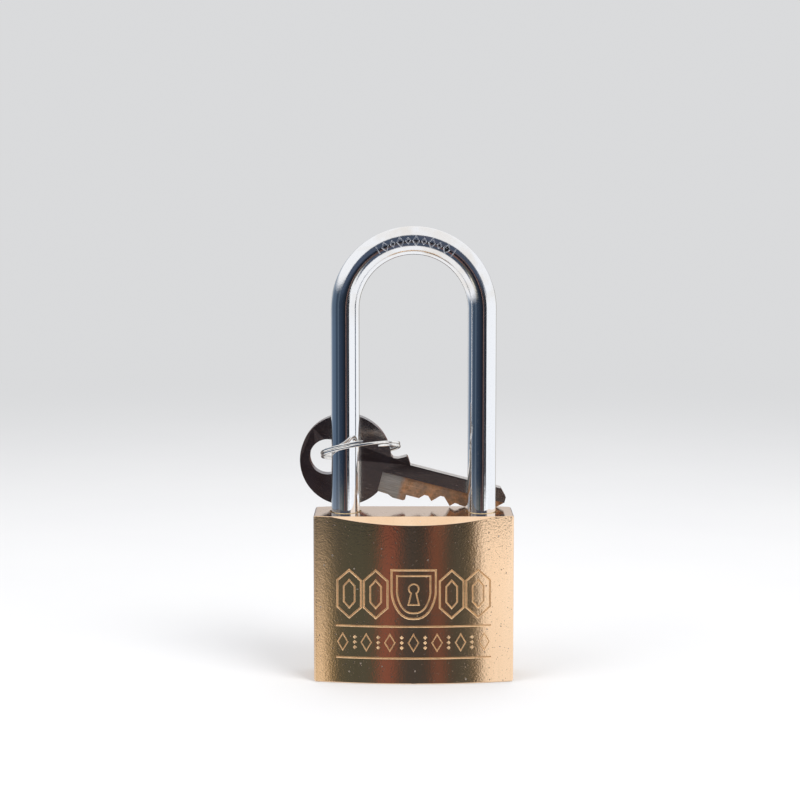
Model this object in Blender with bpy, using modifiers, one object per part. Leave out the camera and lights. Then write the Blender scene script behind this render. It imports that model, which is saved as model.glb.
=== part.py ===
"""Pin-tumbler padlock with a solid brass body, a round steel shackle, two
spring-loaded latches, a five-pin cylinder and two keys on a split ring.

Lengths below are in millimetres and are scaled to metres by MM.
+Z is up along the shackle, +X runs from the heel leg to the toe leg and
+Y points to the back of the lock. The keyway opens in the bottom face.
"""
import math

import bmesh
import bpy
from mathutils import Matrix, Vector

MM = 0.001

# Body
BODY_W = 50.0            # across the two sides
BODY_H = 42.0            # bottom face to top face
BODY_HALF_T = 9.25       # half thickness at the middle
BODY_SAG = 2.8           # how much the faces fall back at the sides
BODY_CORNER = 0.6        # round on the four upright edges
TOP_BEVEL = 2.0          # 45 degree flat along the top front and back edges

# Shackle
ROD_R = 3.55
LEG_X = 17.15            # each leg's distance from the middle
ARCH_Z = 93.2            # centre of the half-round arch
HEEL_END_Z = 12.5
TOE_END_Z = 31.4
BORE_R = 3.75
HEEL_FLOOR_Z = 4.0
TOE_FLOOR_Z = 30.6
LIFT = 11.0              # full upward travel
NECK_R = 2.6
STOP_PIN_Z = 27.0
STOP_PIN_R = 1.0

# Latches
LATCH_Z = 36.5
LATCH_R = 2.4
LATCH_BORE_R = 2.5
LATCH_TRAVEL = 3.2
LATCH_BITE = 1.2         # depth of the shackle's notches
NOSE_HALF = 1.2
NOSE_HALF_Y = 2.0
NOSE_GAP = 0.1
TAIL_END = 0.3
SHOULDER_X = 9.0
NOSE_ROOT_X = 12.2
CRANK_X = 1.6            # crank pins start at (-1.6, -1.6) and (1.6, 1.6)
CRANK_R = 0.7

# Cylinder
PLUG_R = 6.2
PLUG_BORE_R = 6.35
PLUG_Z0 = 0.3
PLUG_Z1 = 30.2
CHAMBER_Z = 39.2
GROOVE_R = 5.0
PLUG_PIN_Z = 27.0
PLUG_PIN_R = 0.9
KEYWAY_Z = 25.3
PIN_Z = [5.0, 9.0, 13.0, 17.0, 21.0]
PIN_R = 1.35
PIN_BORE_R = 1.45
PIN_FLOOR_X = 0.05
KEY_PIN_END = 6.05
DRIVER_START = 6.3
DRIVER_LEN = 4.6
PIN_SPRING_END = 20.6
CAP_START = 20.8
CAP_END = 24.95
CLOSER_START = LEG_X + BORE_R + 0.1

# Keys
KEY_T = 1.9
BOW_R = 11.6
BOW_X, BOW_Z = -17.25, 54.5
KEY_TILT = math.radians(14.5)
HOLE_U, HOLE_V, HOLE_R = -4.65, -0.4, 4.5
KEY_Y = {"key_front": 4.95, "key_rear": 7.1}
SHOULDER_U = 17.2
BACK_V = 2.8
EDGE_V = -4.95
TIP_U = 41.9
CUTS = [2.75, 1.95, 2.85, 1.85, 1.25]  # height of each cut above the plug axis

# Split ring
RING_R = 9.85
RING_WIRE = 0.33
RING_PITCH = 0.76
RING_TURNS = 1.94
RING_C = (-13.4, 2.5, 57.35)
RING_TILT_SIDE = math.radians(8.6)
RING_TILT_NEAR = math.radians(15.0)


def clear_scene():
    for ob in list(bpy.data.objects):
        bpy.data.objects.remove(ob, do_unlink=True)


def material(name, rgb, rough, metal=1.0):
    mat = bpy.data.materials.new(name)
    mat.use_nodes = True
    bsdf = mat.node_tree.nodes["Principled BSDF"]
    bsdf.inputs["Base Color"].default_value = (*rgb, 1.0)
    bsdf.inputs["Roughness"].default_value = rough
    bsdf.inputs["Metallic"].default_value = metal
    mat.diffuse_color = (*rgb, 1.0)
    return mat


def link(ob, coll):
    for c in list(ob.users_collection):
        c.objects.unlink(ob)
    coll.objects.link(ob)
    return ob


def finish(ob, mat):
    ob.data.materials.clear()
    ob.data.materials.append(mat)
    return ob


def smooth(ob, on=True):
    for poly in ob.data.polygons:
        poly.use_smooth = on
    return ob


def curve_to_mesh(cu):
    """Turn a curve object into a mesh object with its loose seams merged."""
    bpy.context.view_layer.update()
    name = cu.name
    dg = bpy.context.evaluated_depsgraph_get()
    me = bpy.data.meshes.new_from_object(cu.evaluated_get(dg))
    world = cu.matrix_world.copy()
    coll = cu.users_collection[0]
    bpy.data.objects.remove(cu, do_unlink=True)
    me.name = name
    ob = bpy.data.objects.new(name, me)
    coll.objects.link(ob)
    ob.matrix_world = world
    bm = bmesh_of(me)
    bmesh.ops.remove_doubles(bm, verts=bm.verts, dist=1e-6)
    bmesh.ops.recalc_face_normals(bm, faces=bm.faces)
    bm.to_mesh(me)
    bm.free()
    return ob


def bmesh_of(me):
    bm = bmesh.new()
    bm.from_mesh(me)
    return bm


def cyl(name, r, length, n, coll, r2=None):
    """Closed cylinder along +Z from z = 0 to length, in millimetres."""
    bm = bmesh.new()
    bmesh.ops.create_cone(bm, cap_ends=True, cap_tris=False, segments=n,
                          radius1=r * MM, radius2=(r if r2 is None else r2) * MM,
                          depth=length * MM,
                          matrix=Matrix.Translation((0, 0, length * MM / 2)))
    me = bpy.data.meshes.new(name)
    bm.to_mesh(me)
    bm.free()
    ob = bpy.data.objects.new(name, me)
    coll.objects.link(ob)
    return ob


def box(name, lo, hi, coll):
    """Box between two corners, in millimetres, with its origin at its centre."""
    lo, hi = Vector(lo) * MM, Vector(hi) * MM
    bm = bmesh.new()
    bmesh.ops.create_cube(bm, size=1.0, matrix=Matrix.Diagonal((*(hi - lo), 1.0)))
    me = bpy.data.meshes.new(name)
    bm.to_mesh(me)
    bm.free()
    ob = bpy.data.objects.new(name, me)
    coll.objects.link(ob)
    ob.location = (lo + hi) / 2
    return ob


def outline(name, loops, thick, coll):
    """Flat plate: closed 2D outlines filled and extruded to a thickness (mm)."""
    cu = bpy.data.curves.new(name, "CURVE")
    cu.dimensions = "2D"
    cu.fill_mode = "BOTH"
    cu.extrude = thick * MM / 2
    for pts in loops:
        sp = cu.splines.new("POLY")
        sp.points.add(len(pts) - 1)
        for p, (x, y) in zip(sp.points, pts):
            p.co = (x * MM, y * MM, 0, 1)
        sp.use_cyclic_u = True
    ob = bpy.data.objects.new(name, cu)
    coll.objects.link(ob)
    return curve_to_mesh(ob)


def wire(name, pts, r, coll, res=2):
    """Round wire through points (mm) with closed ends."""
    cu = bpy.data.curves.new(name, "CURVE")
    cu.dimensions = "3D"
    cu.bevel_depth = r * MM
    cu.bevel_resolution = res
    cu.use_fill_caps = True
    sp = cu.splines.new("POLY")
    sp.points.add(len(pts) - 1)
    for p, q in zip(sp.points, pts):
        p.co = (*(c * MM for c in q), 1)
    ob = bpy.data.objects.new(name, cu)
    coll.objects.link(ob)
    return curve_to_mesh(ob)


def turned(name, profile, n, coll, closed=False):
    """Screw a profile of (radius, z) pairs, in millimetres, about Z."""
    me = bpy.data.meshes.new(name)
    bm = bmesh.new()
    vs = [bm.verts.new((r * MM, 0, z * MM)) for r, z in profile]
    for a, b in zip(vs, vs[1:]):
        bm.edges.new((a, b))
    if closed:
        bm.edges.new((vs[-1], vs[0]))
    bm.to_mesh(me)
    bm.free()
    ob = bpy.data.objects.new(name, me)
    coll.objects.link(ob)
    mod = ob.modifiers.new("screw", "SCREW")
    mod.steps = mod.render_steps = n
    mod.use_merge_vertices = True
    mod.merge_threshold = 0.000005
    mod.use_smooth_shade = True
    bpy.context.view_layer.update()
    dg = bpy.context.evaluated_depsgraph_get()
    made = bpy.data.meshes.new_from_object(ob.evaluated_get(dg))
    bm = bmesh.new()
    bm.from_mesh(made)
    bmesh.ops.remove_doubles(bm, verts=bm.verts, dist=1e-6)
    bmesh.ops.recalc_face_normals(bm, faces=bm.faces)
    bm.to_mesh(made)
    bm.free()
    ob.modifiers.clear()
    ob.data = made
    made.name = name
    return ob


def combine(ob, other, op):
    mod = ob.modifiers.new(other.name, "BOOLEAN")
    mod.operation = op
    mod.solver = "EXACT"
    mod.object = other
    other.hide_render = True
    other.display_type = "WIRE"
    return ob


def cut(ob, *others):
    for o in others:
        combine(ob, o, "DIFFERENCE")
    return ob


def join(ob, *others):
    for o in others:
        combine(ob, o, "UNION")
    return ob


def along_x(ob, x, y, z, sign=1):
    """Lay a piece made along +Z down along +X (or -X) from a start point (mm)."""
    ob.rotation_euler = (0, sign * math.pi / 2, 0)
    ob.location = (x * MM, y * MM, z * MM)
    return ob


def along_y(ob, x, y, z):
    """Lay a piece made along +Z along -Y from a start point (mm)."""
    ob.rotation_euler = (math.pi / 2, 0, 0)
    ob.location = (x * MM, y * MM, z * MM)
    return ob


def face_y(x):
    """Half thickness of the body at a distance from its middle."""
    r = (25.0 ** 2 + BODY_SAG ** 2) / (2 * BODY_SAG)
    return BODY_HALF_T - (r - math.sqrt(r * r - x * x))


def body_outline():
    half = BODY_W / 2
    edge = half - BODY_CORNER
    n = 16
    pts = []
    for i in range(n + 1):                       # front face, heel to toe side
        x = -edge + 2 * edge * i / n
        pts.append((x, -face_y(x)))
    ye = face_y(edge)
    for sx, y0, a0 in ((1, -ye, -90),):
        for k in range(1, 4):
            a = math.radians(a0 + 90 * k / 3)
            pts.append((edge + BODY_CORNER * math.cos(a),
                        y0 + BODY_CORNER + BODY_CORNER * math.sin(a)))
    for k in range(0, 3):
        a = math.radians(90 * k / 3)
        pts.append((edge + BODY_CORNER * math.cos(a),
                    ye - BODY_CORNER + BODY_CORNER * math.sin(a)))
    for i in range(n + 1):                       # back face
        x = edge - 2 * edge * i / n
        pts.append((x, face_y(x)))
    for k in range(1, 4):
        a = math.radians(90 + 90 * k / 3)
        pts.append((-edge + BODY_CORNER * math.cos(a),
                    ye - BODY_CORNER + BODY_CORNER * math.sin(a)))
    for k in range(0, 3):
        a = math.radians(180 + 90 * k / 3)
        pts.append((-edge + BODY_CORNER * math.cos(a),
                    -ye + BODY_CORNER + BODY_CORNER * math.sin(a)))
    return pts


def coil(r, turns, z0, z1, steps):
    pts = []
    n = int(turns * steps)
    for i in range(n + 1):
        a = 2 * math.pi * i / steps
        pts.append((r * math.cos(a), r * math.sin(a), z0 + (z1 - z0) * i / n))
    return pts


def shackle_path():
    pts = [(-LEG_X, 0, HEEL_END_Z), (-LEG_X, 0, 60.0)]
    n = 24
    for i in range(n + 1):
        a = math.pi - math.pi * i / n
        pts.append((LEG_X * math.cos(a), 0, ARCH_Z + LEG_X * math.sin(a)))
    pts += [(LEG_X, 0, 60.0), (LEG_X, 0, TOE_END_Z)]
    return pts


def notch_outline():
    """Toe-side notch: square upper flank and a long ramp below the seat."""
    slope = LATCH_TRAVEL / LIFT
    face = LEG_X - ROD_R
    floor = face + LATCH_BITE
    top = LATCH_Z + NOSE_HALF + 0.1
    seat = LATCH_Z - NOSE_HALF - 0.1
    run = (LATCH_BITE + 0.3) / slope
    return [(face - 1.5, top), (face - 1.5, seat - run), (face - 0.3, seat - run),
            (floor, seat), (floor, top)]


def latch(name, sign, coll, tools):
    """Latch bolt along X. sign +1 is the toe latch, -1 the heel latch."""
    tip = LEG_X - ROD_R + LATCH_BITE - NOSE_GAP
    ob = cyl(name, LATCH_R, tip + TAIL_END, 24, coll)
    cutters = []
    rest = tip + TAIL_END
    # Made along +Z: z = distance from the tail's end; x is down, y is across.
    def local_box(tag, lo, hi):
        b = box(name + "_" + tag, lo, hi, tools)
        cutters.append(b)
        return b
    shoulder = SHOULDER_X + TAIL_END
    root = NOSE_ROOT_X + TAIL_END
    local_box("half", (-4, -4, -1), (4, 0.25, shoulder))
    slot0 = CRANK_X - CRANK_R - 0.17 + TAIL_END
    slot1 = CRANK_X + CRANK_R + 0.17 + TAIL_END
    local_box("slot", (-4, 0.75, slot0), (4, 4, slot1))
    local_box("nose_top", (-4, -4, root), (-NOSE_HALF, 4, rest + 1))
    local_box("nose_low", (NOSE_HALF, -4, root), (4, 4, rest + 1))
    local_box("nose_near", (-4, -4, root), (4, -NOSE_HALF_Y, rest + 1))
    local_box("nose_far", (-4, NOSE_HALF_Y, root), (4, 4, rest + 1))
    turn = Matrix.Rotation(math.pi / 2, 4, "Y")
    if sign < 0:
        turn = Matrix.Rotation(math.pi, 4, "Z") @ turn
    place = Matrix.Translation((-sign * TAIL_END * MM, 0, LATCH_Z * MM)) @ turn
    for b in cutters:
        b.matrix_world = place @ Matrix.Translation(b.location)
        cut(ob, b)
    ob.matrix_world = place
    return ob


def keyway_outline():
    return [(-4.0, -1.1), (-0.25, -1.1), (-0.25, -0.6), (4.1, -0.6),
            (4.1, 1.1), (-1.6, 1.1), (-1.6, 0.6), (-3.0, 0.6), (-3.0, 1.1), (-4.0, 1.1)]


def key_outline():
    """Key profile with its origin at the bow's centre and u towards the tip."""
    pts = []
    a0, a1 = math.radians(20.0), math.radians(330.0)
    n = 44
    for i in range(n + 1):
        a = a0 + (a1 - a0) * i / n
        pts.append((BOW_R * math.cos(a), BOW_R * math.sin(a)))
    pts += [(12.6, -5.9), (14.0, -6.5), (SHOULDER_U - 0.4, -6.5), (SHOULDER_U, -6.1),
            (SHOULDER_U, EDGE_V)]
    flat = 0.5
    us = [SHOULDER_U + z for z in PIN_Z]
    vs = [-1.05 - c for c in CUTS]

    def lowest(u):
        return max(EDGE_V, (42.6 - BOW_Z + math.sin(KEY_TILT) * u) / math.cos(KEY_TILT))
    u, v = us[0] - flat, vs[0]
    drop = v - EDGE_V
    pts.append((u - drop, EDGE_V))
    for i in range(len(us)):
        pts.append((us[i] - flat, vs[i]))
        pts.append((us[i] + flat, vs[i]))
        if i + 1 < len(us):
            gap = (us[i + 1] - flat) - (us[i] + flat)
            # 45 degree flanks meet at a peak, which is cut flat where it is too deep
            peak = (vs[i] + vs[i + 1] - gap) / 2
            mid = us[i] + flat + (vs[i] - peak)
            low = lowest(mid)
            if peak < low:
                pts.append((us[i] + flat + (vs[i] - low), low))
                pts.append((us[i + 1] - flat - (vs[i + 1] - low), low))
            else:
                pts.append((mid, peak))
    pts += [(40.0, -2.4), (TIP_U, -0.6), (TIP_U, 0.9), (40.1, BACK_V), (16.3, BACK_V),
            (15.3, 4.4), (14.8, 4.75), (12.9, 3.65), (11.6, 3.5)]
    return pts


def key(name, y, coll, tools, mat):
    hole = [(HOLE_U + HOLE_R * math.cos(2 * math.pi * i / 32),
             HOLE_V + HOLE_R * math.sin(2 * math.pi * i / 32)) for i in range(32)]
    loops = [[(u - HOLE_U, v - HOLE_V) for u, v in lp] for lp in (key_outline(), hole)]
    ob = outline(name, loops, KEY_T, coll)
    mill = box(name + "_mill", (9.6 - HOLE_U, -9.0 - HOLE_V, KEY_T / 2 - 0.45),
               (43.0 - HOLE_U, -0.6 - HOLE_V, KEY_T), tools)
    groove = box(name + "_groove", (12.0 - HOLE_U, 0.5 - HOLE_V, -KEY_T),
                 (43.0 - HOLE_U, 1.9 - HOLE_V, -KEY_T / 2 + 0.5), tools)
    c, s = math.cos(KEY_TILT), math.sin(KEY_TILT)
    turn = Matrix(((c, s, 0, 0), (0, 0, -1, 0), (-s, c, 0, 0), (0, 0, 0, 1)))
    hx = BOW_X + HOLE_U * c + HOLE_V * s
    hz = BOW_Z - HOLE_U * s + HOLE_V * c
    place = Matrix.Translation((hx * MM, y * MM, hz * MM)) @ turn
    for b in (mill, groove):
        b.matrix_world = place @ Matrix.Translation(b.location)
        cut(ob, b)
    ob.matrix_world = place
    return finish(ob, mat)


def ring_path():
    """Two turns of wire, tilted, in world millimetres."""
    pts = []
    steps = 36
    n = int(RING_TURNS * steps)
    ex = Vector((math.cos(RING_TILT_SIDE), 0, math.sin(RING_TILT_SIDE)))
    ey = Vector((0, math.cos(RING_TILT_NEAR), -math.sin(RING_TILT_NEAR)))
    ez = ex.cross(ey).normalized()
    start = math.radians(-62.0)
    for i in range(n + 1):
        a = start + 2 * math.pi * i / steps
        lift = RING_PITCH * (i / n - 0.5) * RING_TURNS
        pts.append(Vector(RING_C) + RING_R * (math.cos(a) * ex + math.sin(a) * ey) + lift * ez)
    return pts


def main():
    clear_scene()
    scene = bpy.context.scene
    coll = bpy.data.collections.new("padlock")
    scene.collection.children.link(coll)
    tools = bpy.data.collections.new("cutters")
    scene.collection.children.link(tools)
    tools.hide_render = True

    brass = material("brass", (0.78, 0.58, 0.33), 0.28)
    plug_brass = material("plug_brass", (0.72, 0.55, 0.32), 0.32)
    pin_brass = material("pin_brass", (0.80, 0.62, 0.36), 0.30)
    chrome = material("chrome", (0.82, 0.83, 0.86), 0.08)
    latch_steel = material("latch_steel", (0.56, 0.56, 0.57), 0.35)
    spring_steel = material("spring_steel", (0.50, 0.51, 0.53), 0.30)
    nickel = material("key_nickel", (0.46, 0.42, 0.40), 0.30)
    ring_steel = material("ring_steel", (0.70, 0.69, 0.68), 0.20)

    # Body: convex block with every bore that real drilling leaves open.
    body = outline("body", [body_outline()], BODY_H, coll)
    body.location = (0, 0, BODY_H / 2 * MM)
    finish(body, brass)
    for side in (-1, 1):
        wedge = box("wedge_%s" % ("front" if side < 0 else "back"),
                    (-40, -10, -10), (40, 10, 10), tools)
        y = side * (BODY_HALF_T - TOP_BEVEL / 2)
        z = BODY_H - TOP_BEVEL / 2
        k = 10 / math.sqrt(2)
        wedge.rotation_euler = (math.pi / 4, 0, 0)
        wedge.location = (0, (y + side * k) * MM, (z + k) * MM)
        cut(body, wedge)
    heel_bore = cyl("heel_bore", BORE_R, 60 - HEEL_FLOOR_Z, 24, tools)
    heel_bore.location = (-LEG_X * MM, 0, HEEL_FLOOR_Z * MM)
    toe_bore = cyl("toe_bore", BORE_R, 60 - TOE_FLOOR_Z, 24, tools)
    toe_bore.location = (LEG_X * MM, 0, TOE_FLOOR_Z * MM)
    plug_bore = cyl("plug_bore", PLUG_BORE_R, CHAMBER_Z + 5, 48, tools)
    plug_bore.location = (0, 0, -5 * MM)
    cross_bore = along_x(cyl("cross_bore", LATCH_BORE_R, 50, 24, tools), -LEG_X, 0, LATCH_Z)
    cut(body, heel_bore, toe_bore, plug_bore, cross_bore)
    for i, z in enumerate(PIN_Z, 1):
        cut(body, along_x(cyl("body_pin_bore_%d" % i, PIN_BORE_R, 26, 16, tools), 3.0, 0, z))
    stop_x = -LEG_X + NECK_R + STOP_PIN_R + 0.1
    stop_bore = along_y(cyl("stop_pin_bore", STOP_PIN_R + 0.1, 16.5, 16, tools),
                        stop_x, 12, STOP_PIN_Z)
    lock_x = -(GROOVE_R + PLUG_PIN_R + 0.1)
    lock_bore = along_y(cyl("plug_pin_bore", PLUG_PIN_R + 0.1, 15.5, 16, tools),
                        lock_x, 12, PLUG_PIN_Z)
    cut(body, stop_bore, lock_bore)

    # Shackle
    shackle = wire("shackle", shackle_path(), ROD_R, coll, res=10)
    smooth(shackle)
    finish(shackle, chrome)
    neck_lo = STOP_PIN_Z - STOP_PIN_R - 0.1 - LIFT
    neck_hi = STOP_PIN_Z + STOP_PIN_R + 0.1
    neck = turned("neck_ring", [(NECK_R, neck_hi), (5.0, neck_hi), (5.0, neck_lo),
                                (NECK_R, neck_lo)], 24, tools, closed=True)
    neck.location = (-LEG_X * MM, 0, 0)
    toe_notch = outline("toe_notch", [notch_outline()], 12, tools)
    toe_notch.rotation_euler = (math.pi / 2, 0, 0)
    heel_notch = outline("heel_notch", [[(-x, z) for x, z in notch_outline()]], 12, tools)
    heel_notch.rotation_euler = (math.pi / 2, 0, 0)
    cut(shackle, neck, toe_notch, heel_notch)
    for tag, x, z in (("heel", -LEG_X, HEEL_END_Z), ("toe", LEG_X, TOE_END_Z)):
        ease = turned(tag + "_chamfer", [(ROD_R + 0.4, z + 0.6), (ROD_R + 0.4, z - 0.4),
                                         (ROD_R - 0.8, z - 0.4)],
                      24, tools, closed=True)
        ease.location = (x * MM, 0, 0)
        cut(shackle, ease)

    spring = wire("shackle_spring", coil(2.5, 5, HEEL_FLOOR_Z + 0.65, HEEL_END_Z - 0.65, 12),
                  0.5, coll, res=1)
    spring.location = (-LEG_X * MM, 0, 0)
    finish(smooth(spring), spring_steel)

    stop_pin = along_y(cyl("shackle_retaining_pin", STOP_PIN_R, 12.5, 16, coll),
                       stop_x, 8.3, STOP_PIN_Z)
    finish(smooth(stop_pin), pin_brass)

    # Cylinder plug
    plug = turned("plug", [(0, PLUG_Z1), (PLUG_R, PLUG_Z1), (PLUG_R, PLUG_PIN_Z + 1.1),
                           (GROOVE_R, PLUG_PIN_Z + 1.1), (GROOVE_R, PLUG_PIN_Z - 1.1),
                           (PLUG_R, PLUG_PIN_Z - 1.1), (PLUG_R, PLUG_Z0), (0, PLUG_Z0)],
                  48, coll)
    finish(plug, plug_brass)
    keyway = outline("keyway", [keyway_outline()], KEYWAY_Z + 2, tools)
    keyway.location = (0, 0, (KEYWAY_Z - 2) / 2 * MM)
    cut(plug, keyway)
    for i, z in enumerate(PIN_Z, 1):
        cut(plug, along_x(cyl("plug_pin_hole_%d" % i, PIN_BORE_R, 8, 16, tools),
                          PIN_FLOOR_X, 0, z))
    drive = box("drive_slot", (-4.6, -1.15, PLUG_Z1 - 1.9), (4.6, 1.15, PLUG_Z1 + 1), tools)
    cut(plug, drive)
    plug_pin = along_y(cyl("plug_retaining_pin", PLUG_PIN_R, 12.3, 16, coll),
                       lock_x, 8.95, PLUG_PIN_Z)
    finish(smooth(plug_pin), pin_brass)

    # Cam on top of the plug: a disc with two crank pins and a tongue below
    cam = cyl("cam", 5.8, 3.3, 40, coll)
    cam.location = (0, 0, 30.5 * MM)
    finish(cam, latch_steel)
    tongue = box("cam_tongue", (-4.3, -1.0, PLUG_Z1 - 1.6), (4.3, 1.0, 31.5), tools)
    cranks = []
    for tag, s in (("a", -1), ("b", 1)):
        c = cyl("crank_" + tag, CRANK_R, 38.4 - 32.5, 16, tools)
        c.location = (s * CRANK_X * MM, s * CRANK_X * MM, 32.5 * MM)
        cranks.append(c)
    join(cam, tongue, *cranks)

    # Latches, their spring and the closing plug of their bore
    finish(latch("latch_right", 1, coll, tools), latch_steel)
    finish(latch("latch_left", -1, coll, tools), latch_steel)
    lsp = wire("latch_spring", coil(0.72, 7, TAIL_END + 0.3, SHOULDER_X - 0.3, 8), 0.14,
               coll, res=1)
    lsp.rotation_euler = (0, math.pi / 2, 0)
    lsp.location = (0, -1.35 * MM, LATCH_Z * MM)
    finish(smooth(lsp), spring_steel)
    closer = along_x(cyl("latch_bore_plug", LATCH_R, CAP_END - CLOSER_START, 24, coll),
                     CLOSER_START, 0, LATCH_Z)
    finish(closer, brass)

    # Pin stacks, held at the shear line
    for i, (z, c) in enumerate(zip(PIN_Z, CUTS), 1):
        tip = c + 0.02
        kp = turned("key_pin_%d" % i,
                    [(0, KEY_PIN_END), (PIN_R, KEY_PIN_END), (PIN_R, tip + 0.8),
                     (0.45, tip), (0, tip)], 16, coll)
        finish(along_x(kp, 0, 0, z), pin_brass)
        dp = turned("driver_pin_%d" % i,
                    [(0, DRIVER_START + DRIVER_LEN), (PIN_R - 0.25, DRIVER_START + DRIVER_LEN),
                     (PIN_R, DRIVER_START + DRIVER_LEN - 0.25), (PIN_R, DRIVER_START),
                     (0, DRIVER_START)], 16, coll)
        finish(along_x(dp, 0, 0, z), pin_brass)
        ps = wire("pin_spring_%d" % i,
                  coil(0.95, 6, DRIVER_START + DRIVER_LEN + 0.3, PIN_SPRING_END - 0.2, 8),
                  0.16, coll, res=1)
        ps.rotation_euler = (0, math.pi / 2, 0)
        ps.location = (0, 0, z * MM)
        finish(smooth(ps), spring_steel)
        cap = along_x(cyl("pin_cap_%d" % i, PIN_R, CAP_END - CAP_START, 16, coll),
                      CAP_START, 0, z)
        finish(cap, pin_brass)

    # Keys and split ring
    for name, y in KEY_Y.items():
        key(name, y, coll, tools, nickel)
    ring = wire("key_ring", ring_path(), RING_WIRE, coll, res=2)
    shift = Matrix.Translation((-LEG_X * MM, 0, RING_C[2] * MM))
    ring.data.transform(shift.inverted())
    ring.matrix_world = shift
    finish(smooth(ring), ring_steel)


main()
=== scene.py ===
"""The padlock's looks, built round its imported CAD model. Lengths are in millimetres until they reach Blender."""
import math
import random

import bmesh
import bpy
from mathutils import Matrix, Vector


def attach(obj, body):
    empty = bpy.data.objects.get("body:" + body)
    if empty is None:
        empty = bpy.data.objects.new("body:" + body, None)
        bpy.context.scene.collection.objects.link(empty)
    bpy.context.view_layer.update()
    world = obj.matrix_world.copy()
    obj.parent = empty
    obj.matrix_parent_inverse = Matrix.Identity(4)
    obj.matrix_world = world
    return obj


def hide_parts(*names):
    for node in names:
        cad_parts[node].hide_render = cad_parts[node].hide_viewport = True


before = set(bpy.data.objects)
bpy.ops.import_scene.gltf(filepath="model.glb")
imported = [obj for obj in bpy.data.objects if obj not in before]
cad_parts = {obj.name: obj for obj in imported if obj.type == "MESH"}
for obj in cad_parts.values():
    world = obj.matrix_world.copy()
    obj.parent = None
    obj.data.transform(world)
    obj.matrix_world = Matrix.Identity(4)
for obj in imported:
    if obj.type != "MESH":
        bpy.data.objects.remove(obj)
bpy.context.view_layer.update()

MM = 0.001

# The CAD model's dimensions, repeated from part.py
BODY_HALF_W, BODY_H, BODY_HALF_T, BODY_SAG, TOP_BEVEL = 25.0, 42.0, 9.25, 2.8, 2.0
ROD_R, LEG_X, ARCH_Z, HEEL_END_Z, TOE_END_Z = 3.55, 17.15, 93.2, 12.5, 31.4
BORE_R, HEEL_FLOOR_Z, TOE_FLOOR_Z = 3.75, 4.0, 30.6
LIFT, LATCH_TRAVEL, LATCH_BITE, LATCH_Z, NOSE_HALF = 11.0, 3.2, 1.2, 36.5, 1.2
NECK_R, STOP_PIN_Z, STOP_PIN_R = 2.6, 27.0, 1.0
LATCH_BORE_R, PLUG_BORE_R, CHAMBER_Z, PIN_BORE_R = 2.5, 6.35, 39.2, 1.45
GROOVE_R, PLUG_PIN_R, PLUG_PIN_Z = 5.0, 0.9, 27.0
PIN_Z = [5.0, 9.0, 13.0, 17.0, 21.0]
KEY_T, BOW_R, BOW_X, BOW_Z, KEY_TILT = 1.9, 11.6, -17.25, 54.5, math.radians(14.5)
HOLE_U, HOLE_V, HOLE_R = -4.65, -0.4, 4.5
KEY_Y = {"key_front": 4.95, "key_rear": 7.1}
SHOULDER_U, BACK_V, EDGE_V, TIP_U = 17.2, 2.8, -4.95, 41.9
CUTS = [2.75, 1.95, 2.85, 1.85, 1.25]
RING_R, RING_PITCH, RING_TURNS, RING_C = 9.85, 0.76, 1.94, (-13.4, 2.5, 57.35)
RING_TILT_SIDE, RING_TILT_NEAR = math.radians(8.6), math.radians(15.0)

scene = bpy.context.scene
coll = bpy.data.collections.new("looks")
scene.collection.children.link(coll)


# ---------------------------------------------------------------- node materials

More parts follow.
